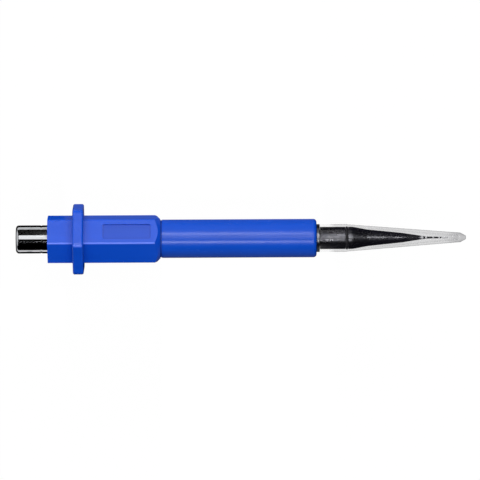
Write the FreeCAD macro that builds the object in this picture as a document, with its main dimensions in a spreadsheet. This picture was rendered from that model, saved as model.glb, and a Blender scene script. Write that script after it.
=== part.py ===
import FreeCAD, Part
import os

import Sketcher

# Periodontal probe with a push-button collet, in millimetres. The axis is X, with the working end at
# +X. The origin is on the axis, half-way along the round barrel. +Z leaves the flat with the recess.
#
# handle: rear_body, barrel, joint_o_ring, rear_bush, spring_seat, guide_bush, closer_sleeve,
#         nose_ferrule, return_spring
# plunger: plunger, plunger_seal, plunger_pin, push_rod, spring_cup, retaining_clip, collet
# tip: probe_tip, depth_band_near, depth_band_far, cap_o_ring
# cap: tip_cap

SIZES = (
    # Moulded rear body: a hexagonal bar with a hexagonal finger guard
    ("body_flats", 12.5, "across the flats of the rear body"),
    ("body_len", 31.95, "length of the rear body"),
    ("body_edge_round", 0.4, "radius on the long edges"),
    ("nose_face_dia", 11.2, "front face, inside the turned 45 degree chamfer"),
    ("guard_flats", 18.7, "across the flats of the guard"),
    ("guard_thick", 3.07, "guard along the axis"),
    ("guard_setback", 7.16, "rear face to guard"),
    ("guard_corner_round", 1.6, "radius on the guard's six corners"),
    ("guard_rim_round", 0.5, "radius round the guard's rim"),
    ("recess_len", 13.55, "marking recess along the axis"),
    ("recess_wide", 4.4, "marking recess across"),
    ("recess_deep", 0.45, "marking recess below the flat"),
    ("recess_setback", 15.7, "rear face to marking recess"),
    ("recess_corner", 0.5, "radius in the recess corners"),
    # Barrel
    ("barrel_len", 43.86, "visible length of the barrel"),
    ("barrel_dia", 10.9, "outside of the barrel"),
    ("barrel_edge_round", 0.9, "radius on the front edge"),
    ("spigot_dia", 9.7, "spigot that enters the rear body"),
    ("spigot_len", 9.0, "length of that spigot"),
    ("spigot_gap", 0.03, "radial clearance of the spigot"),
    ("spring_bore", 6.0, "bore round the spring"),
    ("front_bore", 7.2, "bore round the clutch parts"),
    ("joint_gap", 0.5, "between the rear body and the barrel's shoulder"),
    ("joint_ring_section", 0.48, "section of the O-ring in that gap"),
    # Plunger and its bush
    ("bush_len", 5.8, "length of the rear bush"),
    ("bush_setback", 0.2, "bush below the rear face"),
    ("press_gap", 0.01, "radial clearance of fixed metal parts in their bores"),
    ("plunger_dia", 8.0, "push button"),
    ("plunger_out", 9.03, "button beyond the rear face"),
    ("plunger_round", 0.9, "radius on the button's end"),
    ("plunger_gap", 0.05, "radial clearance of the button in its bush"),
    ("stop_gap", 0.1, "flange to bush at rest"),
    ("flange_dia", 9.2, "flange that stops on the bush"),
    ("flange_thick", 1.5, "thickness of that flange"),
    ("neck_dia", 6.0, "neck that carries the rod"),
    ("neck_len", 5.0, "length of the neck"),
    ("mark_setback", 1.6, "rear face to the groove round the button"),
    ("mark_wide", 0.4, "width of that groove"),
    ("mark_deep", 0.12, "depth of that groove"),
    ("seal_setback", 1.2, "rear face to the seal's centre"),
    ("seal_section", 0.6, "section of the button's O-ring"),
    ("seal_gap", 0.02, "O-ring to bush"),
    ("ring_side_gap", 0.05, "O-ring to each side of its groove"),
    ("stroke", 4.0, "travel of the button"),
    # Push rod, its pin, cup and clip
    ("rod_dia", 2.5, "push rod"),
    ("rod_insert", 4.5, "rod inside the button's neck"),
    ("rod_gap", 0.02, "radial clearance of the rod in the parts that it carries"),
    ("pin_dia", 1.0, "cross pin"),
    ("pin_setback", 2.3, "neck's front face to the pin"),
    ("pin_end_gap", 0.1, "pin's ends below the neck"),
    ("cup_dia", 5.4, "spring cup"),
    ("cup_thick", 1.5, "flange of the spring cup"),
    ("cup_hub_dia", 3.5, "hub inside the spring"),
    ("cup_hub_len", 1.5, "length of that hub"),
    ("clip_dia", 4.4, "retaining clip"),
    ("clip_thick", 0.4, "thickness of the clip"),
    ("clip_groove_dia", 1.8, "floor of the clip's groove"),
    # Spring
    ("spring_len", 19.0, "spring at rest"),
    ("spring_dia", 4.4, "mean diameter"),
    ("wire_dia", 0.5, "wire"),
    ("spring_turns", 5.5, "turns, to the nearest half"),
    # Clutch in the barrel's nose
    ("seat_thick", 2.4, "spring seat"),
    ("seat_gap", 0.15, "radial clearance of the rod in its seat"),
    ("guide_len", 7.6, "guide bush"),
    ("closer_len", 6.4, "closer sleeve"),
    ("collet_len", 12.0, "collet"),
    ("collet_inset", 0.4, "collet behind the sleeve's front face"),
    ("collet_shank_dia", 4.0, "shank of the collet"),
    ("collet_head_dia", 5.7, "head of the collet"),
    ("collet_cone_len", 2.6, "cone between shank and head"),
    ("collet_lip_len", 0.4, "straight lip in front of the cone"),
    ("collet_gap", 0.08, "radial clearance of the collet"),
    ("collet_socket", 2.8, "rod inside the collet"),
    ("collet_slit", 0.5, "width of the slits"),
    ("collet_slit_len", 8.0, "length of the slits"),
    ("head_room_gap", 0.2, "radial room round the open collet"),
    ("head_room_end", 0.9, "room in front of the open collet"),
    ("ferrule_dia", 7.94, "collar of the nose ferrule"),
    ("ferrule_collar", 0.9, "length of that collar"),
    ("ferrule_edge_round", 0.15, "radius on the collar's edges"),
    ("register_len", 2.0, "bore that centres the tip"),
    ("register_dia", 4.4, "register of the tip"),
    ("register_gap", 0.05, "radial clearance of the register"),
    # Exchangeable tip
    ("tang_dia", 2.4, "tang that the collet grips"),
    ("tang_gap", 0.03, "radial clearance of the tang"),
    ("kick_gap", 0.2, "tang to the rod at full stroke"),
    ("seat_face_gap", 0.1, "tip and cap to the ferrule's face"),
    ("hub_dia", 6.3, "hub of the tip"),
    ("hub_len", 9.2, "length of the hub"),
    ("shoulder_dia", 4.76, "front of the shoulder"),
    ("shoulder_len", 4.2, "length of the shoulder"),
    ("shoulder_round", 3.0, "radius over the shoulder"),
    ("upper_taper_len", 10.0, "long taper, down to the change in its slope"),
    ("taper_break_dia", 2.7, "tip where the slope changes"),
    ("lower_taper_len", 6.9, "steeper taper from there to the needle"),
    ("needle_root_dia", 0.6, "needle at its root"),
    ("needle_end_dia", 0.4, "ball end"),
    ("ball_flat", 0.01, "flat left on the ball end, as a radius"),
    ("needle_len", 6.0, "needle"),
    ("band_deep", 0.05, "depth of the bands"),
    ("near_from", 3.5, "near band, from the end"),
    ("near_to", 5.5, "near band, to"),
    ("far_from", 8.5, "far band, from the end"),
    ("far_to", 11.5, "far band, to"),
    ("hub_ring_place", 7.6, "hub's rear face to its O-ring"),
    ("hub_ring_section", 0.8, "section of the hub's O-ring"),
    ("hub_ring_gap", 0.06, "O-ring to the cap's bore"),
    # Clear cap
    ("cap_dia", 7.9, "skirt of the cap"),
    ("cap_wall", 0.6, "wall of the cap"),
    ("cap_skirt", 7.75, "length of the skirt"),
    ("cap_step", 0.08, "step where the skirt meets the cone"),
    ("cap_cone_len", 32.1, "length of the cone"),
    ("cap_nose_dia", 2.7, "front of the cone"),
    ("cap_nose_len", 1.6, "blunt point"),
    ("cap_point_dia", 1.0, "flat of the point"),
    ("cap_point_round", 0.4, "radius round that flat"),
)

# Places along X, each worked out from the sizes above and from the places before it
PLACES = (
    ("barrel_front", "barrel_len / 2"),
    ("barrel_rear", "-barrel_len / 2"),
    ("spigot_rear", "barrel_rear - spigot_len"),
    ("body_front", "barrel_rear - joint_gap"),
    ("body_rear", "body_front - body_len"),
    ("guard_rear", "body_rear + guard_setback"),
    ("recess_rear", "body_rear + recess_setback"),
    ("bush_rear", "body_rear + bush_setback"),
    ("bush_front", "bush_rear + bush_len"),
    ("button_end", "body_rear - plunger_out"),
    ("mark_rear", "body_rear - mark_setback - mark_wide"),
    ("seal_centre", "body_rear + seal_setback"),
    ("flange_rear", "bush_front + stop_gap"),
    ("flange_front", "flange_rear + flange_thick"),
    ("neck_front", "flange_front + neck_len"),
    ("pin_place", "neck_front - pin_setback"),
    ("rod_rear", "neck_front - rod_insert"),
    ("ferrule_front", "barrel_front + ferrule_collar"),
    ("register_rear", "ferrule_front - register_len"),
    ("collet_front", "register_rear - head_room_end - stroke"),
    ("collet_rear", "collet_front - collet_len"),
    ("cone_front", "collet_front - collet_lip_len"),
    ("cone_rear", "cone_front - collet_cone_len"),
    ("closer_front", "collet_front + collet_inset"),
    ("closer_rear", "closer_front - closer_len"),
    ("guide_rear", "closer_rear - guide_len"),
    ("bore_step", "guide_rear - seat_thick"),
    ("rod_front", "collet_rear + collet_socket"),
    ("spring_rear", "bore_step - spring_len"),
    ("cup_rear", "spring_rear - cup_thick"),
    ("clip_rear", "cup_rear - clip_thick"),
    ("hub_rear", "ferrule_front + seat_face_gap"),
    ("hub_front", "hub_rear + hub_len"),
    ("shoulder_front", "hub_front + shoulder_len"),
    ("taper_break", "shoulder_front + upper_taper_len"),
    ("taper_front", "taper_break + lower_taper_len"),
    ("needle_end", "taper_front + needle_len"),
    ("hub_ring_centre", "hub_rear + hub_ring_place"),
    ("tang_rear", "rod_front + stroke + kick_gap"),
    ("cap_rear", "ferrule_front + seat_face_gap"),
    ("cap_cone_rear", "cap_rear + cap_skirt"),
    ("cap_cone_front", "cap_cone_rear + cap_cone_len"),
    ("cap_end", "cap_cone_front + cap_nose_len"),
    # Radii that several pieces share
    ("body_bore", "spigot_dia / 2 + spigot_gap"),
    ("stack_radius", "front_bore / 2 - press_gap"),
    ("cap_bore", "cap_dia / 2 - cap_wall"),
)

doc = FreeCAD.newDocument("periodontal_probe")
dims = doc.addObject("Spreadsheet::Sheet", "dims")
for row, (alias, size, note) in enumerate(SIZES, start=1):
    dims.set(f"A{row}", note)
    dims.set(f"B{row}", str(size))
    dims.setAlias(f"B{row}", alias)
for row, (alias, formula) in enumerate(PLACES, start=len(SIZES) + 2):
    dims.set(f"A{row}", alias)
    dims.set(f"B{row}", "=" + formula)
    dims.setAlias(f"B{row}", alias)
doc.recompute()

ALIASES = {entry[0] for entry in SIZES + PLACES}


def bound(formula):
    """The formula with each of the sheet's names written as dims.name."""
    words, word = [], ""
    for letter in formula + " ":
        if letter.isalnum() or letter in "_.":
            word += letter
            continue
        words.append("dims." + word if word in ALIASES else word)
        words.append(letter)
        word = ""
    return "".join(words).strip()


def number(formula):
    """The formula's present value."""
    return float(dims.evalExpression(bound(formula)))


def plane(body, role):
    return next(f for f in body.Origin.OriginFeatures if f.Role == role)


def sketch_on(body, name, role, offset="0"):
    """An empty sketch on one of the body's own origin planes, moved off it by offset."""
    sketch = body.newObject("Sketcher::SketchObject", name)
    sketch.AttachmentSupport = (plane(body, role), [""])
    sketch.MapMode = "FlatFace"
    if offset != "0":
        sketch.setExpression("AttachmentOffset.Base.z", bound(offset))
    return sketch


def pin_down(sketch, geometry, point, across, up):
    """Fixes one point of a sketch at the two given formulas."""
    for kind, formula, axis in (("DistanceX", across, -2), ("DistanceY", up, -1)):
        if formula == "0":
            sketch.addConstraint(Sketcher.Constraint("PointOnObject", geometry, point, axis))
            continue
        rule = Sketcher.Constraint(kind, -1, 1, geometry, point, number(formula))
        index = sketch.addConstraint(rule)
        sketch.setExpression(f"Constraints[{index}]", bound(formula))


def polygon(sketch, corners):
    """A closed outline of straight lines through corners, each a pair of formulas."""
    points = [FreeCAD.Vector(number(across), number(up), 0) for across, up in corners]
    count = len(points)
    for i in range(count):
        sketch.addGeometry(Part.LineSegment(points[i], points[(i + 1) % count]))
    for i in range(count):
        sketch.addConstraint(Sketcher.Constraint("Coincident", i - 1 if i else count - 1, 2, i, 1))
        pin_down(sketch, i, 1, *corners[i])


def circle(sketch, across, up, radius):
    centre = FreeCAD.Vector(number(across), number(up), 0)
    sketch.addGeometry(Part.Circle(centre, FreeCAD.Vector(0, 0, 1), number(radius)))
    pin_down(sketch, 0, 3, across, up)
    index = sketch.addConstraint(Sketcher.Constraint("Radius", 0, number(radius)))
    sketch.setExpression(f"Constraints[{index}]", bound(radius))


def new_body(node):
    body = doc.addObject("PartDesign::Body", node)
    body.Label = node
    return body


def turn(body, name, kind, corners):
    """A Revolution or Groove about X of the outline through corners: (place, radius) pairs."""
    sketch = sketch_on(body, name + "_outline", "XY_Plane")
    polygon(sketch, corners)
    feature = body.newObject("PartDesign::" + kind, name)
    feature.Profile = sketch
    feature.ReferenceAxis = (sketch, ["H_Axis"])
    feature.Angle = 360
    doc.recompute()
    return feature


def turned(node, corners):
    """A sub-part turned about X."""
    body = new_body(node)
    turn(body, node + "_turn", "Revolution", corners)
    return body


def hoops(body, places):
    """Names of the tip's round edges at the given (place, radius) pairs."""
    wanted = [(number(place), number(radius)) for place, radius in places]
    found = []
    for i, edge in enumerate(body.Tip.Shape.Edges, start=1):
        if not isinstance(edge.Curve, Part.Circle):
            continue
        here = (edge.Curve.Center.x, edge.Curve.Radius)
        if any(abs(here[0] - x) + abs(here[1] - r) < 1e-4 for x, r in wanted):
            found.append(f"Edge{i}")
    return found


def along_axis(body, radius):
    """Names of the tip's straight edges parallel to X at the given distance from the axis."""
    reach, found = number(radius), []
    for i, edge in enumerate(body.Tip.Shape.Edges, start=1):
        ends = [vertex.Point for vertex in edge.Vertexes]
        if len(ends) == 2 and all(abs(p.y**2 + p.z**2 - reach**2) < 1e-3 for p in ends):
            if abs(ends[0].y - ends[1].y) + abs(ends[0].z - ends[1].z) < 1e-4:
                found.append(f"Edge{i}")
    return found


def rounded(body, name, edges, radius):
    """A PartDesign fillet on the named edges of the body's tip."""
    base = body.Tip
    fillet = body.newObject("PartDesign::Fillet", name)
    fillet.Base = (base, edges)
    fillet.setExpression("Radius", bound(radius))
    doc.recompute()


def bar(body, name, flats, length, rear):
    """Pads a hexagonal bar along X, with a flat towards +Z."""
    sketch = sketch_on(body, name + "_section", "YZ_Plane", rear)
    corner = f"{flats} / sqrt(3)"
    side, top = f"{flats} / sqrt(12)", f"{flats} / 2"
    polygon(
        sketch,
        (
            (corner, "0"),
            (side, top),
            (f"-{side}", top),
            (f"-{corner}", "0"),
            (f"-{side}", f"-{top}"),
            (side, f"-{top}"),
        ),
    )
    pad = body.newObject("PartDesign::Pad", name)
    pad.Profile = sketch
    pad.setExpression("Length", bound(length))
    doc.recompute()


def cut(body, name, sketch, forwards=False, both=False):
    """Pockets the sketch through the whole piece, and checks that it took something away."""
    before = body.Tip.Shape.Volume
    pocket = body.newObject("PartDesign::Pocket", name)
    pocket.Profile = sketch
    pocket.Type = "ThroughAll"
    pocket.Reversed = forwards
    if both:
        pocket.SideType = "Symmetric"
    doc.recompute()
    assert pocket.Shape.Volume < before - 1e-3, f"{name} cuts nothing"
    return pocket


def groove(body, name, corners):
    """A turned cut, checked to take something away."""
    before = body.Tip.Shape.Volume
    feature = turn(body, name, "Groove", corners)
    assert feature.Shape.Volume < before - 1e-5, f"{name} cuts nothing"


def cross_drill(body, name, place, diameter):
    sketch = sketch_on(body, name + "_section", "XZ_Plane")
    circle(sketch, place, "0", f"{diameter} / 2")
    cut(body, name, sketch, both=True)


def ring(node, place, inside, section):
    """An O-ring about X: its centre's place, its inner radius and its section's diameter."""
    torus = doc.addObject("Part::Torus", node)
    torus.Label = node
    torus.setExpression("Radius1", bound(f"{inside} + {section} / 2"))
    torus.setExpression("Radius2", bound(f"{section} / 2"))
    torus.Placement = FreeCAD.Placement(
        FreeCAD.Vector(), FreeCAD.Rotation(FreeCAD.Vector(0, 1, 0), 90)
    )
    torus.setExpression("Placement.Base.x", bound(place))
    return torus


def sleeve(node, rear, front, inside, outside):
    """A plain turned tube."""
    return turned(node, ((rear, inside), (rear, outside), (front, outside), (front, inside)))


# Handle


def rear_body():
    """Hexagonal bar and guard in one moulding, bored through, with a marking recess in one flat."""
    body = new_body("rear_body")
    bar(body, "grip_bar", "body_flats", "body_len", "body_rear")
    rounded(body, "bar_edges", along_axis(body, "body_flats / sqrt(3)"), "body_edge_round")
    groove(
        body,
        "nose_chamfer",
        (
            ("body_front", "nose_face_dia / 2"),
            ("body_front", "body_flats"),
            ("body_front - body_flats + nose_face_dia / 2", "body_flats"),
        ),
    )
    bar(body, "guard", "guard_flats", "guard_thick", "guard_rear")
    corners = along_axis(body, "guard_flats / sqrt(3)")
    rounded(body, "guard_corners", corners, "guard_corner_round")
    rim, reach = [], number("guard_flats / 2")
    for i, edge in enumerate(body.Tip.Shape.Edges, start=1):
        box = edge.BoundBox
        far = max((v.Point.y**2 + v.Point.z**2) ** 0.5 for v in edge.Vertexes)
        if box.XLength < 1e-6 and far > reach - 1e-6:
            rim.append(f"Edge{i}")
    rounded(body, "guard_rim", rim, "guard_rim_round")

    bore = sketch_on(body, "bore_section", "YZ_Plane", "body_front")
    circle(bore, "0", "0", "body_bore")
    cut(body, "bore", bore)

    floor = sketch_on(body, "recess_section", "XY_Plane", "body_flats / 2")
    half = "recess_wide / 2"
    polygon(
        floor,
        (
            ("recess_rear", f"-{half}"),
            ("recess_rear + recess_len", f"-{half}"),
            ("recess_rear + recess_len", half),
            ("recess_rear", half),
        ),
    )
    recess = body.newObject("PartDesign::Pocket", "marking_recess")
    recess.Profile = floor
    recess.setExpression("Length", bound("recess_deep"))
    doc.recompute()
    upright = []
    for i, edge in enumerate(body.Tip.Shape.Edges, start=1):
        box = edge.BoundBox
        flat = box.XLength + box.YLength < 1e-6
        if flat and abs(box.ZMax - number("body_flats / 2")) < 1e-4:
            upright.append(f"Edge{i}")
    rounded(body, "recess_corners", upright, "recess_corner")
    return body


def barrel():
    """Round barrel: a spigot at the rear, and a stepped bore for the spring and the clutch."""
    body = turned(
        "barrel",
        (
            ("spigot_rear", "spring_bore / 2"),
            ("spigot_rear", "spigot_dia / 2"),
            ("barrel_rear", "spigot_dia / 2"),
            ("barrel_rear", "barrel_dia / 2"),
            ("barrel_front", "barrel_dia / 2"),
            ("barrel_front", "front_bore / 2"),
            ("bore_step", "front_bore / 2"),
            ("bore_step", "spring_bore / 2"),
        ),
    )
    front = hoops(body, (("barrel_front", "barrel_dia / 2"),))
    rounded(body, "barrel_front_edge", front, "barrel_edge_round")
    return body


def rear_bush():
    """Metal bush in which the button slides."""
    inside, outside = "plunger_dia / 2 + plunger_gap", "body_bore - press_gap"
    return sleeve("rear_bush", "bush_rear", "bush_front", inside, outside)


def spring_seat():
    """Thick washer against the step in the barrel's bore."""
    return sleeve("spring_seat", "bore_step", "guide_rear", "rod_dia / 2 + seat_gap", "stack_radius")


def guide_bush():
    """Tube that keeps the collet's shank straight."""
    inside = "collet_shank_dia / 2 + collet_gap"
    return sleeve("guide_bush", "guide_rear", "closer_rear", inside, "stack_radius")


def closer_sleeve():
    """Its cone squeezes the jaws when the spring draws the collet back."""
    shank, head = "collet_shank_dia / 2 + collet_gap", "collet_head_dia / 2 + collet_gap"
    return turned(
        "closer_sleeve",
        (
            ("closer_rear", shank),
            ("closer_rear", "stack_radius"),
            ("closer_front", "stack_radius"),
            ("closer_front", head),
            ("cone_front", head),
            ("cone_rear", shank),
        ),
    )


def nose_ferrule():
    """Chromed ferrule: holds the clutch parts in the barrel and centres the tip."""
    room, bore = "collet_head_dia / 2 + head_room_gap", "register_dia / 2 + register_gap"
    body = turned(
        "nose_ferrule",
        (
            ("closer_front", room),
            ("closer_front", "stack_radius"),
            ("barrel_front", "stack_radius"),
            ("barrel_front", "ferrule_dia / 2"),
            ("ferrule_front", "ferrule_dia / 2"),
            ("ferrule_front", bore),
            ("register_rear", bore),
            ("register_rear", room),
        ),
    )
    edges = (("barrel_front", "ferrule_dia / 2"), ("ferrule_front", "ferrule_dia / 2"))
    rounded(body, "ferrule_edges", hoops(body, edges), "ferrule_edge_round")
    return body


# Plunger


def plunger():
    """Chromed push button, with a stop flange and a neck that carries the rod."""
    side, floor = "plunger_dia / 2", "plunger_dia / 2 + plunger_gap - seal_gap - seal_section"
    half = "(seal_section / 2 + ring_side_gap)"
    socket = "rod_dia / 2 + rod_gap"
    body = turned(
        "plunger",
        (
            ("button_end", "0"),
            ("button_end", side),
            ("mark_rear", side),
            ("mark_rear", f"{side} - mark_deep"),
            ("mark_rear + mark_wide", f"{side} - mark_deep"),
            ("mark_rear + mark_wide", side),
            (f"seal_centre - {half}", side),
            (f"seal_centre - {half}", floor),
            (f"seal_centre + {half}", floor),
            (f"seal_centre + {half}", side),
            ("flange_rear", side),
            ("flange_rear", "flange_dia / 2"),
            ("flange_front", "flange_dia / 2"),
            ("flange_front", "neck_dia / 2"),
            ("neck_front", "neck_dia / 2"),
            ("neck_front", socket),
            ("rod_rear - rod_gap", socket),
            ("rod_rear - rod_gap", "0"),
        ),
    )
    rounded(body, "button_edge", hoops(body, (("button_end", side),)), "plunger_round")
    cross_drill(body, "neck_pin_hole", "pin_place", "pin_dia")
    return body


def plunger_pin():
    """Cross pin through the neck and the rod, along Y."""
    pin = doc.addObject("Part::Cylinder", "plunger_pin")
    pin.Label = "plunger_pin"
    pin.setExpression("Radius", bound("pin_dia / 2"))
    pin.setExpression("Height", bound("neck_dia - 2 * pin_end_gap"))
    pin.Placement = FreeCAD.Placement(
        FreeCAD.Vector(), FreeCAD.Rotation(FreeCAD.Vector(1, 0, 0), 90)
    )
    pin.setExpression("Placement.Base.x", bound("pin_place"))
    pin.setExpression("Placement.Base.y", bound("neck_dia / 2 - pin_end_gap"))
    return pin


def push_rod():
    """Rod from the button to the collet, with a groove for the clip."""
    side, floor = "rod_dia / 2", "clip_groove_dia / 2"
    body = turned(
        "push_rod",
        (
            ("rod_rear", "0"),
            ("rod_rear", side),
            ("clip_rear", side),
            ("clip_rear", floor),
            ("cup_rear", floor),
            ("cup_rear", side),
            ("rod_front", side),
            ("rod_front", "0"),
        ),
    )
    cross_drill(body, "rod_pin_hole", "pin_place", "pin_dia")
    return body


def spring_cup():
    """Flanged collar on the rod: the spring bears on its flange, round its hub."""
    bore = "rod_dia / 2 + rod_gap"
    return turned(
        "spring_cup",
        (
            ("cup_rear", bore),
            ("cup_rear", "cup_dia / 2"),
            ("spring_rear", "cup_dia / 2"),
            ("spring_rear", "cup_hub_dia / 2"),
            ("spring_rear + cup_hub_len", "cup_hub_dia / 2"),
            ("spring_rear + cup_hub_len", bore),
        ),
    )


def retaining_clip():
    """Open clip in the rod's groove, behind the cup."""
    body = sleeve(
        "retaining_clip", "clip_rear", "cup_rear", "clip_groove_dia / 2 + rod_gap", "clip_dia / 2"
    )
    mouth = sketch_on(body, "clip_mouth_section", "YZ_Plane", "cup_rear")
    half = "clip_groove_dia / 2"
    polygon(
        mouth, (("0", f"-{half}"), ("clip_dia", f"-{half}"), ("clip_dia", half), ("0", half))
    )
    cut(body, "clip_mouth", mouth)
    return body


def collet():
    """Three sprung jaws on a shank, with a cone that the closer sleeve squeezes."""
    shank, head = "collet_shank_dia / 2", "collet_head_dia / 2"
    socket, bore = "rod_dia / 2 + rod_gap", "tang_dia / 2 + tang_gap"
    body = turned(
        "collet",
        (
            ("collet_rear", socket),
            ("collet_rear", shank),
            ("cone_rear", shank),
            ("cone_front", head),
            ("collet_front", head),
            ("collet_front", bore),
            ("rod_front + rod_gap", bore),
            ("rod_front + rod_gap", socket),
        ),
    )
    sketch = sketch_on(body, "slit_section", "XY_Plane")
    half = "collet_slit / 2"
    rear, front = "collet_front - collet_slit_len", "collet_front + collet_lip_len"
    polygon(sketch, ((rear, f"-{half}"), (front, f"-{half}"), (front, half), (rear, half)))
    slit = cut(body, "slit", sketch, forwards=True)
    slits = body.newObject("PartDesign::PolarPattern", "slits")
    slits.Originals = [slit]
    slits.Axis = (sketch, ["H_Axis"])
    slits.Angle = 360
    slits.Occurrences = 3
    body.Tip = slits
    doc.recompute()
    return body


def return_spring():
    """Compression spring between the cup and its seat.

    Each half turn is a flat arc that rises by half the pitch. Its ends run square to X, so the half
    turns join smoothly."""
    radius, wire = number("spring_dia / 2"), number("wire_dia / 2")
    halves = round(2 * number("spring_turns"))
    start, rise = number("spring_rear") + wire, number("spring_len - wire_dia") / halves
    turns = []
    for i in range(halves):
        side = 1 if i % 2 == 0 else -1
        rear = FreeCAD.Vector(start + i * rise, 0, side * radius)
        front = FreeCAD.Vector(start + (i + 1) * rise, 0, -side * radius)
        section = Part.Face(Part.Wire(Part.Circle(rear, FreeCAD.Vector(0, 1, 0), wire).toShape()))
        axis = (front - rear).cross(FreeCAD.Vector(0, -side, 0))
        turns.append(section.revolve((rear + front) / 2, axis, 180))
    spring = doc.addObject("Part::Feature", "return_spring")
    spring.Label = "return_spring"
    spring.Shape = turns[0].multiFuse(turns[1:]).Solids[0]
    return spring


# Tip


def tip_radius(place):
    """Formula for the tip's radius at a place on its tapers or its needle."""

    def between(rear, rear_dia, front_dia, length):
        return f"({rear_dia} + ({front_dia} - {rear_dia}) * ({place} - {rear}) / {length}) / 2"

    upper = between("shoulder_front", "shoulder_dia", "taper_break_dia", "upper_taper_len")
    lower = between("taper_break", "taper_break_dia", "needle_root_dia", "lower_taper_len")
    needle = between("taper_front", "needle_root_dia", "needle_end_dia", "needle_len")
    return f"({place} < taper_break ? {upper} : ({place} < taper_front ? {lower} : {needle}))"


def band_outline(rear, front, proud):
    """A band's section: from its floor to the tip's surface, or beyond it by proud."""
    rear_side, front_side = tip_radius(rear), tip_radius(front)
    return (
        (rear, f"{rear_side} - band_deep"),
        (rear, f"{rear_side} + {proud}"),
        (front, f"{front_side} + {proud}"),
        (front, f"{front_side} - band_deep"),
    )


BANDS = (
    ("depth_band_near", "needle_end - near_to", "needle_end - near_from"),
    ("depth_band_far", "needle_end - far_to", "needle_end - far_from"),
)


def probe_tip():
    """Steel tip in one piece: tang, register, hub, shoulder, two tapers and ball-ended needle."""
    hub, floor = "hub_dia / 2", "cap_bore - hub_ring_gap - hub_ring_section"
    half = "(hub_ring_section / 2 + ring_side_gap)"
    body = turned(
        "probe_tip",
        (
            ("tang_rear", "0"),
            ("tang_rear", "tang_dia / 2"),
            ("register_rear", "tang_dia / 2"),
            ("register_rear", "register_dia / 2"),
            ("hub_rear", "register_dia / 2"),
            ("hub_rear", hub),
            (f"hub_ring_centre - {half}", hub),
            (f"hub_ring_centre - {half}", floor),
            (f"hub_ring_centre + {half}", floor),
            (f"hub_ring_centre + {half}", hub),
            ("hub_front", hub),
            ("shoulder_front", "shoulder_dia / 2"),
            ("taper_break", "taper_break_dia / 2"),
            ("taper_front", "needle_root_dia / 2"),
            ("needle_end", "needle_end_dia / 2"),
            ("needle_end", "0"),
        ),
    )
    rounded(body, "shoulder", hoops(body, (("hub_front", hub),)), "shoulder_round")
    end = hoops(body, (("needle_end", "needle_end_dia / 2"),))
    rounded(body, "ball_end", end, "needle_end_dia / 2 - ball_flat")
    for node, rear, front in BANDS:
        groove(body, node + "_groove", band_outline(rear, front, "band_deep"))
    return body


def cap_o_ring():
    """O-ring in the hub that holds the cap."""
    inside = "cap_bore - hub_ring_gap - hub_ring_section"
    return ring("cap_o_ring", "hub_ring_centre", inside, "hub_ring_section")


# Cap


def tip_cap():
    """Clear cap over the tip: a short skirt and a long hollow cone with a blunt point."""
    root, nose = "cap_dia / 2 - cap_step", "cap_nose_dia / 2"
    body = turned(
        "tip_cap",
        (
            ("cap_rear", "cap_bore"),
            ("cap_rear", "cap_dia / 2"),
            ("cap_cone_rear", "cap_dia / 2"),
            ("cap_cone_rear", root),
            ("cap_cone_front", nose),
            ("cap_end", "cap_point_dia / 2"),
            ("cap_end", "0"),
            ("cap_cone_front - cap_wall", "0"),
            ("cap_cone_front - cap_wall", f"{nose} - cap_wall"),
            ("cap_cone_rear", "cap_bore"),
        ),
    )
    point = hoops(body, (("cap_end", "cap_point_dia / 2"),))
    rounded(body, "point", point, "cap_point_round")
    return body


PIECES = [
    rear_body(),
    barrel(),
    ring("joint_o_ring", "(body_front + barrel_rear) / 2", "spigot_dia / 2", "joint_ring_section"),
    rear_bush(),
    spring_seat(),
    guide_bush(),
    closer_sleeve(),
    nose_ferrule(),
    return_spring(),
    plunger(),
    ring(
        "plunger_seal",
        "seal_centre",
        "plunger_dia / 2 + plunger_gap - seal_gap - seal_section",
        "seal_section",
    ),
    plunger_pin(),
    push_rod(),
    spring_cup(),
    retaining_clip(),
    collet(),
    probe_tip(),
    *(turned(node, band_outline(rear, front, "0")) for node, rear, front in BANDS),
    cap_o_ring(),
    tip_cap(),
]

doc.recompute()
for item in doc.Objects:
    assert not {"Invalid", "Error"} & set(item.State), f"{item.Name}: {item.State}"
for piece in PIECES:
    assert not piece.Shape.isNull() and piece.Shape.isValid(), f"{piece.Label} has no valid shape"

os.makedirs("parts", exist_ok=True)
for piece in PIECES:
    piece.Shape.exportStep(f"parts/{piece.Label}.step")
    box = piece.Shape.BoundBox
    print(f"{piece.Label:16s} x {box.XMin:7.2f} {box.XMax:7.2f}  volume {piece.Shape.Volume:9.3f}")
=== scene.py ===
"""Periodontal probe with a push-button collet, dressed for rendering.

Metres; X is the tool's axis, with the tip at +X.
"""

import math

import bpy
from mathutils import Matrix, Vector


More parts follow.
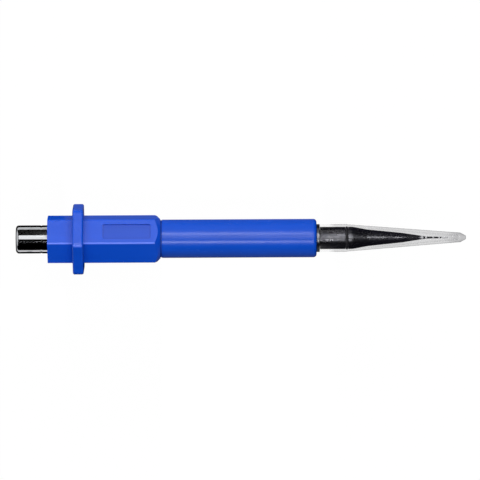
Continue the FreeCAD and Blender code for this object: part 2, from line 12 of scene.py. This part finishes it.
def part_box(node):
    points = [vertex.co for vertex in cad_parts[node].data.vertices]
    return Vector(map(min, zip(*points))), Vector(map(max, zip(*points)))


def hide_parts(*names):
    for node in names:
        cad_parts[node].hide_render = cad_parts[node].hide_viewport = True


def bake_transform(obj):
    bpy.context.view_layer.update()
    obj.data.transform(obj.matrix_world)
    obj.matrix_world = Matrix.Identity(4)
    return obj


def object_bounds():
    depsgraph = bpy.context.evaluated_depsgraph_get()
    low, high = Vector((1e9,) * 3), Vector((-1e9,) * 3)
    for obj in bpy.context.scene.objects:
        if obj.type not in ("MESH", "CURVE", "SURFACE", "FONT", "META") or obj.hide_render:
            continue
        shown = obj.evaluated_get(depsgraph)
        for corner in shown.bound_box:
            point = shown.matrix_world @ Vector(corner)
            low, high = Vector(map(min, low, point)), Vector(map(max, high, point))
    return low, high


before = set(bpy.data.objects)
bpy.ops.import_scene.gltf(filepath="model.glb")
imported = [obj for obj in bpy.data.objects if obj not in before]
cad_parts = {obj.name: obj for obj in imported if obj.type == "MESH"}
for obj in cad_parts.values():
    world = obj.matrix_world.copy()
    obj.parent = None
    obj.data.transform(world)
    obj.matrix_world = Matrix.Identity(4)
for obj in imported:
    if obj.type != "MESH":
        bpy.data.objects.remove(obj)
cad_box = [list(corner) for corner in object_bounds()]

# ---------------------------------------------------------------------------------------------------
# Rear body. One injection moulding in blue plastic: a hexagonal bar with a hexagonal finger guard and
# a sunken marking field. The mould leaves a satin skin with faint flow and fine scratches from use.
# Painted shade darkens the field towards its walls, and a painted highlight runs along two corners.


class Socket:
    """One output of a node tree, so that shader maths reads as Python expressions."""

    def __init__(self, tree, link):
        self.tree, self.link = tree, link

    def node(self, kind, settings=None, **inputs):
        """Adds a node: its type, its settings, and a value or a link for each named socket."""
        made = self.tree.nodes.new(kind)
        for name, value in (settings or {}).items():
            setattr(made, name, value)
        for name, value in inputs.items():
            key = int(name[1:]) if name[0] == "i" and name[1:].isdigit() else name.replace("_", " ")
            target = made.inputs[key]
            if isinstance(value, Socket):
                self.tree.links.new(value.link, target)
            else:
                target.default_value = value
        return made

    def value(self, kind, settings=None, output=0, **inputs):
        made = self.node(kind, settings, **inputs)
        return Socket(self.tree, made.outputs[output])

    def maths(self, operation, a, b=0.0):
        return self.value("ShaderNodeMath", {"operation": operation}, i0=a, i1=b)

    def __add__(self, other):
        return self.maths("ADD", self, other)

    __radd__ = __add__

    def __sub__(self, other):
        return self.maths("SUBTRACT", self, other)

    def __rsub__(self, other):
        return self.maths("SUBTRACT", other, self)

    def __mul__(self, other):
        return self.maths("MULTIPLY", self, other)

    __rmul__ = __mul__

    def __gt__(self, other):
        return self.maths("GREATER_THAN", self, other)

    def __lt__(self, other):
        return self.maths("LESS_THAN", self, other)

    def power(self, other):
        return self.maths("POWER", self, other)

    def size(self):
        return self.maths("ABSOLUTE", self)

    def between(self, low, high):
        """0 below low, 1 above high, smooth between."""
        return self.value(
            "ShaderNodeMapRange",
            {"interpolation_type": "SMOOTHSTEP"},
            Value=self,
            From_Min=low,
            From_Max=high,
        )

    def blend(self, first, second):
        """A colour: first where this value is 0, second where it is 1."""
        return self.value(
            "ShaderNodeMix", {"data_type": "RGBA"}, output=2, i0=self, i6=first, i7=second
        )


def finish_of(name):
    """A new material, its Socket maker, its shader, and the object's own place, whole and as X, Y, Z."""
    material = bpy.data.materials.new(name)
    material.use_nodes = True
    tree = material.node_tree
    shader = tree.nodes["Principled BSDF"]
    maker = Socket(tree, None)
    place = maker.value("ShaderNodeTexCoord", output=3)
    apart = maker.node("ShaderNodeSeparateXYZ", i0=place)
    x, y, z = (Socket(tree, output) for output in apart.outputs)
    return material, maker, shader, place, (x, y, z)


def feed(shader, maker, bump=None, bump_height=1e-5, **inputs):
    """Links or sets the shader's sockets, and lays a bump on its normal."""
    for name, value in inputs.items():
        target = shader.inputs[name.replace("_", " ")]
        if isinstance(value, Socket):
            maker.tree.links.new(value.link, target)
        else:
            target.default_value = value
    if bump is not None:
        relief = maker.value("ShaderNodeBump", Height=bump, Distance=bump_height, Strength=1.0)
        maker.tree.links.new(relief.link, shader.inputs["Normal"])


def noise(maker, place, scale, detail=3.0, roughness=0.55):
    """Cloudy noise from about 0 to 1."""
    return maker.value(
        "ShaderNodeTexNoise", Vector=place, Scale=scale, Detail=detail, Roughness=roughness
    )


def stretched(maker, place, along, across):
    """The place with X scaled by along, and Y and Z by across, for marks that run along the axis."""
    return maker.value(
        "ShaderNodeMapping", {"vector_type": "POINT"}, Vector=place, Scale=(along, across, across)
    )


def dress(node, material):
    """Gives every slot of a CAD node the material."""
    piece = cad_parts[node]
    for slot in piece.material_slots:
        slot.material = material


def moulded_blue(name, light, dark, roughness, sunken=None, highlight_corners=()):
    """Blue moulded plastic: faint flow, fine scratches, and a skin like an orange's.

    sunken is a darker field on top, with painted shade along its walls: its X ends, its half width, and
    the heights of its floor and rim.
    The corner bands are painted highlights, a lighter colour on the two corners where Y and Z have
    opposite signs: the radius where each starts, where it is full, and where it stops.
    """
    material, maker, shader, place, (x, y, z) = finish_of(name)
    flow = noise(maker, stretched(maker, place, 60, 260), 1.0)
    skin = noise(maker, place, 2600, 2.0)
    scratch = noise(maker, stretched(maker, place, 300, 5200), 1.0, 2.0, 0.6)
    scuffs = scratch.between(0.66, 0.82)
    colour = flow.between(0.3, 0.7).blend(dark, light)
    relief = skin * 0.25 - scuffs * 0.4
    if sunken:
        (rear, front), half, (floor, rim) = sunken
        margin, soft, wall_shade_width = 0.0001, 0.0002, 0.0006
        inside = z.between(floor - soft, floor - margin) - z.between(floor + soft, rim)
        inside = inside * (x > rear - margin) * (x < front + margin) * (y.size() < half + margin)
        # Painted shade: the floor is lighter away from the walls, so the field darkens towards each
        # wall.
        floor_clear_of_wall_shade = (x - rear).between(0.0, wall_shade_width) * (front - x).between(0.0, wall_shade_width)
        floor_clear_of_wall_shade = floor_clear_of_wall_shade * (half - y.size()).between(0.0, wall_shade_width)
        lines = noise(maker, stretched(maker, place, 40, 2600), 1.0, 1.0)
        # The field's own darker blue with fine lines, plus the painted shade towards its walls.
        field_tone_and_painted_shade = inside * (0.42 - floor_clear_of_wall_shade * 0.20 + lines * 0.12)
        colour = field_tone_and_painted_shade.blend(colour, (0.002, 0.034, 0.34, 1))
        relief = relief + inside * lines * 0.6
    opposite_signs = -8e-6
    # Painted highlight: a lighter band of colour along two corners, broken up by the scratch noise.
    for start, full, stop in highlight_corners:
        radius = (y * y + z * z).power(0.5)
        painted_highlight = radius.between(start, full) * (radius < stop) * (y * z < opposite_signs)
        highlight_strength = painted_highlight * (0.75 + scratch * 0.3)
        colour = highlight_strength.blend(colour, (0.12, 0.22, 0.95, 1))
    feed(
        shader,
        maker,
        bump=relief,
        bump_height=3e-6,
        Base_Color=colour,
        Roughness=roughness + scuffs * 0.10 + (flow - 0.5) * 0.06,
        IOR=1.53,
    )
    return material


field_ends, field_half_width, field_heights = (-0.03868, -0.02513), 0.0022, (0.0058, 0.0061)
# Radii of the painted highlights along the bar's and the guard's corners.
bar_highlight_band, guard_highlight_band = (0.00702, 0.00714, 0.0075), (0.01042, 0.01060, 0.02)
rear_moulding = moulded_blue(
    "rear_moulding",
    light=(0.0046, 0.082, 0.66, 1),
    dark=(0.0040, 0.076, 0.62, 1),
    roughness=0.30,
    sunken=(field_ends, field_half_width, field_heights),
    highlight_corners=(bar_highlight_band, guard_highlight_band),
)
dress("rear_body", rear_moulding)

# ---------------------------------------------------------------------------------------------------
# Barrel and rubber rings. A round moulding of the same blue plastic, smoother than the rear body, and
# pressed into it against a blue O-ring. The rings on the button and under the cap are black.

barrel_moulding = moulded_blue(
    "barrel_moulding",
    light=(0.0046, 0.078, 0.60, 1),
    dark=(0.0040, 0.072, 0.56, 1),
    roughness=0.25,
)
dress("barrel", barrel_moulding)

black_rubber, maker, shader, place, _ = finish_of("black_rubber")
bloom = noise(maker, place, 1800, 3.0)
feed(
    shader,
    maker,
    bump=bloom,
    bump_height=6e-6,
    Base_Color=bloom.between(0.45, 0.75).blend((0.012, 0.012, 0.013, 1), (0.03, 0.03, 0.032, 1)),
    Roughness=0.55 + bloom * 0.2,
)
for node in ("plunger_seal", "cap_o_ring"):
    dress(node, black_rubber)

blue_rubber, maker, shader, place, _ = finish_of("blue_rubber")
bloom = noise(maker, place, 1800, 3.0)
feed(
    shader,
    maker,
    bump=bloom,
    bump_height=6e-6,
    Base_Color=bloom.blend((0.004, 0.045, 0.36, 1), (0.008, 0.060, 0.42, 1)),
    Roughness=0.5 + bloom * 0.2,
)
dress("joint_o_ring", blue_rubber)

# ---------------------------------------------------------------------------------------------------
# Push button and nose ferrule. The button is turned steel with polished chrome plate, which keeps a
# trace of the turning marks and has faint smears of handling. The ferrule is darker satin nickel.


def bright_metal(name, light, dark, roughness, turning=9000.0, mark_depth=0.4, dulling=0.06):
    """Turned metal: rings of fine turning marks about X, and faint smears of handling."""
    material, maker, shader, place, _ = finish_of(name)
    rings = noise(maker, stretched(maker, place, turning, 20), 1.0, 2.0, 0.7)
    smear = noise(maker, stretched(maker, place, 420, 600), 1.0, 3.0, 0.6)
    wear = smear.between(0.52, 0.78)
    feed(
        shader,
        maker,
        bump=rings * mark_depth,
        bump_height=1.5e-6,
        Base_Color=wear.blend(light, dark),
        Metallic=1.0,
        Roughness=roughness + wear * dulling + rings * dulling * 0.5,
    )
    return material


chrome_plate = bright_metal(
    "chrome_plate",
    light=(0.52, 0.53, 0.55, 1),
    dark=(0.22, 0.23, 0.25, 1),
    roughness=0.06,
    mark_depth=0.08,
    dulling=0.02,
)
dress("plunger", chrome_plate)
satin_nickel = bright_metal("satin_nickel", (0.30, 0.30, 0.32, 1), (0.16, 0.16, 0.17, 1), 0.26)
dress("nose_ferrule", satin_nickel)

# ---------------------------------------------------------------------------------------------------
# Push rod, cross pin, cup, clip, seat, sleeve and collet. Small turned parts, bright with darker smears
# like oil. The bushes and the cup are brass.

turned_steel = bright_metal("turned_steel", (0.58, 0.58, 0.60, 1), (0.40, 0.40, 0.42, 1), 0.22)
for node in ("push_rod", "plunger_pin", "spring_seat", "closer_sleeve", "collet"):
    dress(node, turned_steel)
turned_brass = bright_metal("turned_brass", (0.78, 0.58, 0.28, 1), (0.60, 0.42, 0.18, 1), 0.22)
for node in ("rear_bush", "guide_bush", "spring_cup"):
    dress(node, turned_brass)
spring_steel = bright_metal(
    "spring_steel", (0.42, 0.43, 0.45, 1), (0.28, 0.28, 0.30, 1), 0.28, turning=300.0
)
dress("retaining_clip", spring_steel)

# ---------------------------------------------------------------------------------------------------
# Return spring. Coiled music wire round the push rod, as a chain of half turns. Its front end bears on
# the seat in the barrel, and its rear end on the rod's cup.

coil_rear, coil_front = (Vector(corner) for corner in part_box("return_spring"))
wire_radius, half_turns, arc_steps, wire_sides = 0.00025, 11, 16, 12
coil_radius = coil_front.z - wire_radius
rise = (coil_front.x - coil_rear.x - 2 * wire_radius) / half_turns
skin = []
for half in range(half_turns):
    side = -1 if half % 2 else 1
    across = Vector((rise, 0, -2 * side * coil_radius)) / 2
    middle = Vector((coil_rear.x + wire_radius + (half + 0.5) * rise, 0, 0))
    outward = Vector((0, side * across.length, 0))
    closing_ring = 1 if half == half_turns - 1 else 0
    for step in range(arc_steps + closing_ring):
        turn = math.pi * step / arc_steps
        centre = middle - across * math.cos(turn) + outward * math.sin(turn)
        along = (across * math.sin(turn) + outward * math.cos(turn)).normalized()
        first = (Vector((1, 0, 0)) - along * along.x).normalized()
        second = along.cross(first)
        for spoke in range(wire_sides):
            angle = 2 * math.pi * spoke / wire_sides
            spread = first * math.cos(angle) + second * math.sin(angle)
            skin.append(centre + spread * wire_radius)
faces = []
for start in range(0, len(skin) - wire_sides, wire_sides):
    for spoke in range(wire_sides):
        here, after = start + spoke, start + (spoke + 1) % wire_sides
        faces.append((here, after, after + wire_sides, here + wire_sides))
faces.append(tuple(reversed(range(wire_sides))))
faces.append(tuple(range(len(skin) - wire_sides, len(skin))))
coil_mesh = bpy.data.meshes.new("return_coil")
coil_mesh.from_pydata(skin, [], faces)
coil_mesh.shade_smooth()
coil_mesh.materials.append(spring_steel)
coil = bpy.data.objects.new("return_coil", coil_mesh)
bpy.context.collection.objects.link(coil)
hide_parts("return_spring")
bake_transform(coil)

# ---------------------------------------------------------------------------------------------------
# Tip. Hardened steel, dark and stained on the hub, ground to a long taper with a brighter needle whose
# shine is a painted reflection: a light grey colour on steel made less metallic. Two black lacquer
# bands fill shallow grooves, and etched rings lie near them, to mark the depth.

probe_steel, maker, shader, place, (x, _, _) = finish_of("probe_steel")
rings = noise(maker, stretched(maker, place, 6000, 20), 1.0, 2.0, 0.7)
stain = noise(maker, stretched(maker, place, 350, 500), 1.0, 3.0, 0.6).between(0.36, 0.72)
stained = stain.blend((0.27, 0.27, 0.29, 1), (0.13, 0.13, 0.15, 1))
needle_start, needle_full = 0.0508, 0.0522
needle = x.between(needle_start, needle_full)
# Painted reflection: the needle's light grey colour stands in for the bright light its steel reflects.
stain_and_painted_shine = needle.blend(stained, (0.80, 0.80, 0.82, 1))
etched_rings = ((0.0523, 0.0527), (0.0533, 0.0548), (0.0553, 0.0565), (0.0570, 0.0573))
ring_edge = 0.0001
etched = 0.0
for start, end in etched_rings:
    etched = x.between(start - ring_edge, start) - x.between(end, end + ring_edge) + etched
feed(
    shader,
    maker,
    bump=rings * 0.08,
    bump_height=1.5e-6,
    Base_Color=etched.blend(stain_and_painted_shine, (0.02, 0.02, 0.022, 1)),
    Metallic=1.0 - needle * 0.7,
    Roughness=0.26 + stain * 0.08 + needle * 0.22,
)
dress("probe_tip", probe_steel)

lacquer, maker, shader, place, (x, _, _) = finish_of("band_lacquer")
grain = noise(maker, place, 4000, 2.0)
black = grain.blend((0.006, 0.006, 0.006, 1), (0.02, 0.02, 0.02, 1))
worn_rear, worn_front, worn_edge = 0.05490, 0.05520, 0.00015
worn = x.between(worn_rear - worn_edge, worn_rear) - x.between(worn_front, worn_front + worn_edge)
feed(
    shader,
    maker,
    bump=grain,
    bump_height=3e-6,
    Base_Color=worn.blend(black, (0.55, 0.55, 0.57, 1)),
    Roughness=0.45 + grain * 0.2,
)
for node in ("depth_band_near", "depth_band_far"):
    dress(node, lacquer)

# ---------------------------------------------------------------------------------------------------
# Cap. A thin clear moulding that pushes over the tip's hub. It is nearly colourless, denser towards
# the nose and where the eye looks along the wall, with fine rubs.

clear, maker, shader, place, (x, y, z) = finish_of("clear_cap")
rubs = noise(maker, stretched(maker, place, 500, 3000), 1.0, 3.0, 0.6)
edge = maker.value("ShaderNodeLayerWeight", output=1, Blend=0.30)
cone_wall, front_wall = x.between(0.029, 0.045), x.between(0.048, 0.062)
thick = cone_wall * 0.8 + front_wall * 0.5
radius = (y * y + z * z).power(0.5)
cone_start, cone_radius, cone_taper, wall_edge = 0.0307, 0.0036, 0.0785, 0.0001
outer = (radius - cone_radius + (x - cone_start) * cone_taper).between(-wall_edge, wall_edge)
nose, solid_nose = x.between(0.0624, 0.0627), x.between(0.0575, 0.0630)
outer = outer + nose * (1.0 - outer)
film = 0.02 + thick * 0.07 + edge * (0.05 + outer * 0.33) + outer * solid_nose * 0.14
feed(
    shader,
    maker,
    bump=rubs.between(0.6, 0.75),
    bump_height=1.5e-6,
    Base_Color=rubs.blend((0.030, 0.028, 0.048, 1), (0.044, 0.041, 0.066, 1)),
    Alpha=film,
    Roughness=0.08 + rubs.between(0.55, 0.75) * 0.15,
    IOR=1.49,
)
dress("tip_cap", clear)

# ---------------------------------------------------------------------------------------------------
# Studio. A white table that glows by itself, fills that light what is matt, and glows that show in
# what is glossy. Cards over the table and upright reflectors, hidden from the camera, shape the gloss.

table_gap, card_lift, table_side, table_white = 0.0002, 0.0001, 6.0, 0.975
table_height = cad_box[0][2] - table_gap


def flat_card(name, centre, along, across):
    """A flat rectangle, along its first direction by across its second."""
    mesh = bpy.data.meshes.new(name)
    signs = ((-1, -1), (1, -1), (1, 1), (-1, 1))
    highlight_corners = [centre + a * along / 2 + b * across / 2 for a, b in signs]
    mesh.from_pydata(highlight_corners, [], [(0, 1, 2, 3)])
    card = bpy.data.objects.new(name, mesh)
    bpy.context.collection.objects.link(card)
    return card


table_centre = Vector((0, 0, table_height))
table = flat_card("table", table_centre, Vector((table_side, 0, 0)), Vector((0, table_side, 0)))
paper, maker, shader, *_ = finish_of("table_paper")
feed(
    shader,
    maker,
    Base_Color=(0.05, 0.05, 0.05, 1),
    Roughness=0.9,
    Specular_IOR_Level=0.1,
    Emission_Color=(1.0, 1.0, 1.0, 1),
    Emission_Strength=table_white,
)
paper.cycles.emission_sampling = "NONE"
table.data.materials.append(paper)


def card_finish(name, glow):
    """A surface that reflects nothing and gives off this much white."""
    material, maker, shader, *_ = finish_of(name)
    feed(
        shader,
        maker,
        Base_Color=(0.0, 0.0, 0.0, 1),
        Specular_IOR_Level=0.0,
        Emission_Color=(1.0, 1.0, 1.0, 1),
        Emission_Strength=glow,
    )
    material.cycles.emission_sampling = "NONE"
    return material


black_card = card_finish("black_card", 0.0)
grey_card = card_finish("grey_card", 0.12)
white_card = card_finish("white_card", 0.9)


def reflection_card(name, x_range, y_range, material):
    """A card just above the table, between two X and two Y, that the camera doesn't see."""
    centre = Vector((sum(x_range) / 2, sum(y_range) / 2, table_height + card_lift))
    length, width = x_range[1] - x_range[0], y_range[1] - y_range[0]
    card = flat_card(name, centre, Vector((length, 0, 0)), Vector((0, width, 0)))
    card.data.materials.append(material)
    card.visible_camera = card.visible_shadow = card.visible_transmission = False


# Black and dull grey cards cover what the gloss would see of the table, apart from two white gaps
# beside the chromed button.
reflection_card("card_button_front", (-3, -0.05), (-3, -0.0225), black_card)
reflection_card("card_button", (-3, -0.05), (-0.0115, 0.09), black_card)
reflection_card("card_body", (-0.05, -0.022), (-3, 0.005), black_card)
reflection_card("card_barrel", (-0.022, 0.027), (-3, 0.005), grey_card)
reflection_card("card_tip", (0.027, 3), (-3, 0.005), black_card)
reflection_card("card_handle_rear", (-0.05, 0.024), (0.005, 3), grey_card)
reflection_card("card_tip_rear", (0.024, 3), (0.005, 3), black_card)

# Two upright reflectors, a small one behind and a large one past the button's end.
for name, centre, along, height in (
    ("reflector_rear", Vector((-0.20, 0.5, 0.095)), Vector((0.26, 0, 0)), 0.19),
    ("reflector_end", Vector((-0.60, 0, 0.54)), Vector((0, 1.4, 0)), 1.08),
):
    reflector = flat_card(name, centre, along, Vector((0, 0, height)))
    reflector.data.materials.append(white_card)
    reflector.visible_camera = reflector.visible_diffuse = reflector.visible_shadow = False
    reflector.visible_transmission = False


def soft_light(name, elevation, distance, across, depth, brightness, kind):
    """A rectangular light above the table, from one X to another; elevation is from -Y, over the top.

    A fill lights what is matt, and a glow is seen only in what is glossy.
    """
    angle = math.radians(elevation)
    back = Vector((0, -math.cos(angle), math.sin(angle)))
    length = across[1] - across[0]
    lamp = bpy.data.lights.new(name, "AREA")
    lamp.shape, lamp.size, lamp.size_y = "RECTANGLE", length, depth
    lamp.energy = math.pi * length * depth * brightness
    light = bpy.data.objects.new(name, lamp)
    light.location = Vector((sum(across) / 2, 0, 0)) + back * distance
    light.rotation_mode = "QUATERNION"
    light.rotation_quaternion = (-back).to_track_quat("-Z", "Y")
    light.visible_camera = False
    light.visible_glossy = kind == "glow"
    light.visible_diffuse = kind == "fill"
    bpy.context.collection.objects.link(light)


soft_light("fill_overhead", 101, 1.0, (-0.9, 0.9), 0.9, 1.20, "fill")
soft_light("fill_near", 86, 0.60, (-0.6, 0.6), 0.28, 1.80, "fill")
soft_light("fill_front", 40, 1.00, (-0.6, 0.6), 0.40, 3.45, "fill")
soft_light("fill_rear", 168, 1.00, (-0.6, 0.6), 0.38, 5.00, "fill")
soft_light("glow_broad", 112, 0.90, (-0.075, 0.022), 1.8, 0.88, "glow")
soft_light("glow_handle", 99, 0.60, (-0.067, 0.033), 0.15, 5.1, "glow")
soft_light("glow_front", 49.5, 0.60, (-0.058, 0.029), 0.11, 8.6, "glow")
soft_light("glow_button", 87, 0.60, (-0.20, -0.069), 0.34, 1.5, "glow")
soft_light("glow_tip", 77, 0.60, (0.034, 0.20), 0.16, 3.0, "glow")

# The wall behind is as pale as the table, and only the camera sees it.
world = bpy.data.worlds.new("studio")
world.use_nodes = True
bpy.context.scene.world = world
wall = world.node_tree.nodes["Background"]
wall.inputs["Color"].default_value = (1.0, 1.0, 1.0, 1)
wall.inputs["Strength"].default_value = table_white
seen = world.cycles_visibility
seen.diffuse = seen.glossy = seen.transmission = seen.scatter = False

# Camera: in front and high, 20 degrees off the vertical, with the tool's axis almost level.
camera_data = bpy.data.cameras.new("camera")
camera_data.sensor_width, camera_data.lens = 36.0, 422.5
camera = bpy.data.objects.new("camera", camera_data)
bpy.context.collection.objects.link(camera)
elevation, distance, roll = math.radians(70), 1.6, math.radians(-0.28)
back = Vector((0, -math.cos(elevation), math.sin(elevation)))
up = Vector((0, math.sin(elevation), math.cos(elevation)))
aim_ahead, aim_below = 0.00020, 0.00045
aim = Vector((aim_ahead, 0, 0)) - up * aim_below
camera.location = aim + back * distance
camera.rotation_mode = "QUATERNION"
facing = (-back).to_track_quat("-Z", "Y")
camera.rotation_quaternion = facing @ Matrix.Rotation(roll, 4, "Z").to_quaternion()
camera_data.clip_start, camera_data.clip_end = 0.01, 20.0
bpy.context.scene.camera = camera
bpy.context.scene.view_settings.view_transform = "Standard"
